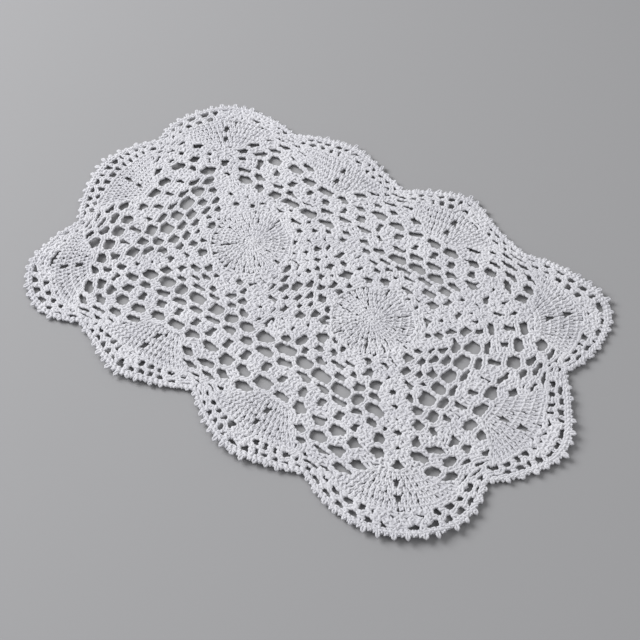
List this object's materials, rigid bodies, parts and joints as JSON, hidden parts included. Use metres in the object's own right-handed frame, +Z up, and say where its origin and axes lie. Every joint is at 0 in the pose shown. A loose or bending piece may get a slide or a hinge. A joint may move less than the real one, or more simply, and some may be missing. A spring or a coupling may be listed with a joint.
{
  "type": "lace doily",
  "caption": "Oblong crocheted cotton lace doily with two round medallions, straight filet rounds, a scalloped border of fans and a picot edge.",
  "frame": {"origin": "under the middle of the doily's box, on the surface it lies on", "axes": "+X along the long way, +Y across towards the back edge as pictured, +Z up"},
  "size_m": [0.3014, 0.204, 0.002],
  "materials": {
    "cotton": "matt bleached cotton thread"
  },
  "bodies": {
    "root": {"doily": "cotton"}
  },
  "joints": []
}
